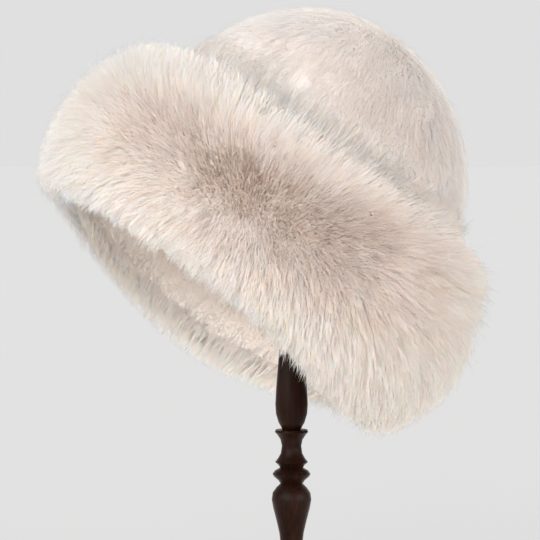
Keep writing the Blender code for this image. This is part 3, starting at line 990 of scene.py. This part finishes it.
# how much longer or shorter the hair is than its pile; a zone is a place from the rim and a width
trimSettings = {
    "crownFill": 0.12, "brimFill": 0.36, "fillBelow": 0.002, "fillWidth": 0.014,
    "nearCut": 0.45, "nearTurn": 0.35, "nearZone": (-0.012, 0.020),
    "farCut": 0.60, "farZone": (0.004, 0.010),
    "pileGrowth": 0.3, "pileZone": (-0.01, 0.01),
}


def pastRim(run, zone):
    # 0 to 1 through a zone beside the rim
    return np.clip((run - fur.rim - zone[0]) / zone[1], 0, 1)


def seamFill(turn, tip, share):
    # longer hair fills the fold between crown and brim on the near side
    s = trimSettings
    near = np.clip((-np.sin(turn) - 0.3) / 0.5, 0, 1)
    return 1 + share * near * np.exp(-((tip - fur.seam - s["fillBelow"]) / s["fillWidth"]) ** 2)


def crownTrim(turn, run, tip):
    return seamFill(turn, tip, trimSettings["crownFill"])


def brimTrim(turn, run, tip):
    # shorter hair under the near edge, and on the inside of the far edge
    s = trimSettings
    near = np.clip(-np.sin(turn + s["nearTurn"]), 0, 1) * pastRim(run, s["nearZone"])
    far = np.clip(1.5 * np.sin(turn), 0, 1) * pastRim(run, s["farZone"])
    return seamFill(turn, tip, s["brimFill"]) * (1 - s["nearCut"] * near - s["farCut"] * far)


def pileTrim(turn, run, tip):
    return 1 + trimSettings["pileGrowth"] * pastRim(run, trimSettings["pileZone"])


def toneOf(spots, chance):
    patches = 0.9 * (softNoise(spots, 0.022, 9) - 0.5)
    return np.clip(0.5 + patches + chance.normal(0, 0.25, len(spots)), 0, 1)


def crownTint(turn, run, spots, chance):
    shade = crownShade(turn, run, spots) + chance.normal(0, 0.06, len(run))
    return np.clip(shade, 0, 1), toneOf(spots, chance)


def pileTint(turn, run, spots, chance):
    shade = pileShade(turn, run, spots) + chance.normal(0, 0.05, len(run))
    return np.clip(shade, 0, 1), toneOf(spots, chance)


def crestTint(turn, run, spots, chance):
    shade = brimShade(turn, run, spots)
    shade = shade + chance.normal(0, 1, len(run)) * (0.05 + 0.20 * shade)
    return np.clip(shade, 0, 1), toneOf(spots, chance)


# what the three layers of hair on the brim share
brimHair = {
    "look": "brim", "slot": "brim_fur", "stop": fur.end - 0.001,
    "fringe": 0.010, "fringeZone": 0.03, "uneven": (0.5, 1.3),
    "tint": crestTint, "flow": brimFlow, "trim": brimTrim,
}

# start and stop are runs, and tips pass them by no more than the spill; a depth is a share of the pile;
# levels and taper go from root to tip, and the other sizes are metres
hairSettings = {
    "crownHair": {
        "look": "crown", "slot": "crown_fur", "seed": 21, "count": 62000, "locks": 7000,
        "start": 0.0, "stop": fur.seam + 0.006, "spill": 0.004, "levels": (0.0, 0.5, 1.0),
        "rootDepth": (0.25, 0.50), "tipDepth": (0.84, 1.03), "evenTips": 0.8, "lie": 0.3,
        "wildShare": 0.02, "wildReach": 0.20, "swirl": 0.003, "swirlSize": 0.035, "stray": 0.0012,
        "hang": 0.002, "lockUneven": 0.14, "lockPull": (0.0, 0.25), "width": 0.00036, "roll": 0.4,
        "taper": (1.0, 0.85), "fringe": 0.0, "fringeZone": 0.02, "uneven": (0.8, 1.2),
        "tint": crownTint, "flow": crownFlow, "trim": crownTrim,
    },
    "brimUnderHair": {
        **brimHair, "seed": 31, "count": 62000, "locks": 7000,
        "start": fur.seam - 0.004, "spill": 0.020, "levels": (0.0, 0.5, 1.0),
        "rootDepth": (0.42, 0.62), "tipDepth": (0.74, 0.92), "evenTips": 1.0, "lie": 0.6,
        "wildShare": 0.0, "wildReach": 0.0, "swirl": 0.003, "swirlSize": 0.03, "stray": 0.0025,
        "hang": 0.002, "lockUneven": 0.2, "lockPull": (0.0, 0.4), "width": 0.00045, "roll": 0.5,
        "taper": (1.0, 0.85),
    },
    "brimLongHair": {
        **brimHair, "seed": 41, "count": 39500, "locks": 6500,
        "start": fur.seam - 0.006, "spill": 0.030, "levels": (0.0, 0.4, 0.75, 1.0),
        "rootDepth": (0.40, 0.60), "tipDepth": (0.88, 1.03), "evenTips": 0.8, "lie": 0.4,
        "wildShare": 0.0, "wildReach": 0.0, "swirl": 0.004, "swirlSize": 0.04, "stray": 0.0018,
        "hang": 0.005, "lockUneven": 0.16, "lockPull": (0.0, 0.2), "width": 0.00036, "roll": 0.4,
        "taper": (1.0, 0.95, 0.65),
    },
    "brimOuterHair": {
        **brimHair, "seed": 51, "count": 39500, "locks": 5200,
        "start": fur.seam - 0.006, "spill": 0.030, "levels": (0.0, 0.4, 0.75, 1.0),
        "rootDepth": (0.45, 0.62), "tipDepth": (0.88, 1.10), "evenTips": 1.4, "lie": 0.3,
        "wildShare": 0.05, "wildReach": 0.22, "swirl": 0.005, "swirlSize": 0.05, "stray": 0.0022,
        "hang": 0.006, "lockUneven": 0.12, "lockPull": (0.0, 0.3), "width": 0.00030, "roll": 0.4,
        "taper": (1.0, 0.9, 0.6),
    },
    "underBrimPile": {
        "look": "under", "slot": "under_brim_fur", "seed": 61, "count": 45000, "locks": 3000,
        "start": fur.seam + 0.006, "stop": fur.rim + 0.013, "spill": 0.006, "levels": (0.0, 0.5, 1.0),
        "rootDepth": (0.3, 0.6), "tipDepth": (0.90, 1.05), "evenTips": 1.0, "lie": 0.4,
        "wildShare": 0.0, "wildReach": 0.0, "swirl": 0.002, "swirlSize": 0.03, "stray": 0.0009,
        "hang": 0.0, "lockUneven": 0.05, "lockPull": (0.0, 0.2), "width": 0.0006, "roll": 0.4,
        "taper": (1.0, 0.85), "fringe": 0.0, "fringeZone": 0.02, "uneven": (0.85, 1.15),
        "inward": True, "tint": pileTint, "flow": pileFlow, "trim": pileTrim,
    },
}


# the bed's tan is painted shade deep inside the brim
pileBed = {"sink": 0.0016, "sharpFrom": 60, "tan": (0.58, 0.48, 0.42)}


def pileBedMaterial():
    material, shader = newMaterial("under brim pile bed", 0.95, 0.05, 0.25)
    place = objectCoordinates(material)
    patches = noiseOf(material, place, 20.0, 3.0)
    nap = noiseOf(material, place, 500.0, 4.0, 0.7)
    tone = rampOf(material, patches, [(0.3, (0.84, 0.765, 0.70)), (0.7, (0.88, 0.81, 0.75))])
    # painted shade: where the nap is low in the bump, the colour is a little darker
    shade = rampOf(material, nap, [(0.3, (0.92, 0.91, 0.90)), (0.65, (1.0, 1.0, 1.0))])
    # darker and warmer deep inside the brim: painted shade
    deep = addNode(material, "ShaderNodeAttribute", attribute_name="tanAndPaintedShade")
    coat = mixOf(material, deep.outputs["Fac"], tone, pileBed["tan"])
    link(material, mixOf(material, 1.0, coat, shade, "MULTIPLY"), shader.inputs["Base Color"])
    bumpOf(material, shader, nap, 0.7, 0.0012)
    return material


def makeHair():
    looks = {name: hairMaterial(name + " hair", s) for name, s in hairLooks.items()}
    for name, s in hairSettings.items():
        growHair(name, s, looks[s["look"]])


def makePileBed():
    # the closed ground under the pile inside the brim
    bed = copyOfNode("under_brim_fur", "underBrimBed")
    dress(bed, pileBedMaterial())
    sink = bed.modifiers.new("Sink", "DISPLACE")
    sink.strength = -pileBed["sink"]
    sink.mid_level = 0.0
    rounding = bed.modifiers.new("Rounding", "SUBSURF")
    rounding.levels = rounding.render_levels = 1
    applyAll(bed)
    shadeAttribute(bed, pileShade, fur.under, fur.seam, fur.rim)
    bpy.ops.object.shade_smooth_by_angle(angle=math.radians(pileBed["sharpFrom"]))
    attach(bed, "root")
    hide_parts("under_brim_fur")


makeHair()
makePileBed()
print("hair grown")

triangles = {piece.name: sum(len(face.vertices) - 2 for face in piece.data.polygons)
             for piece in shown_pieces() if piece.type == "MESH"}
print("triangles:", sum(triangles.values()), triangles)
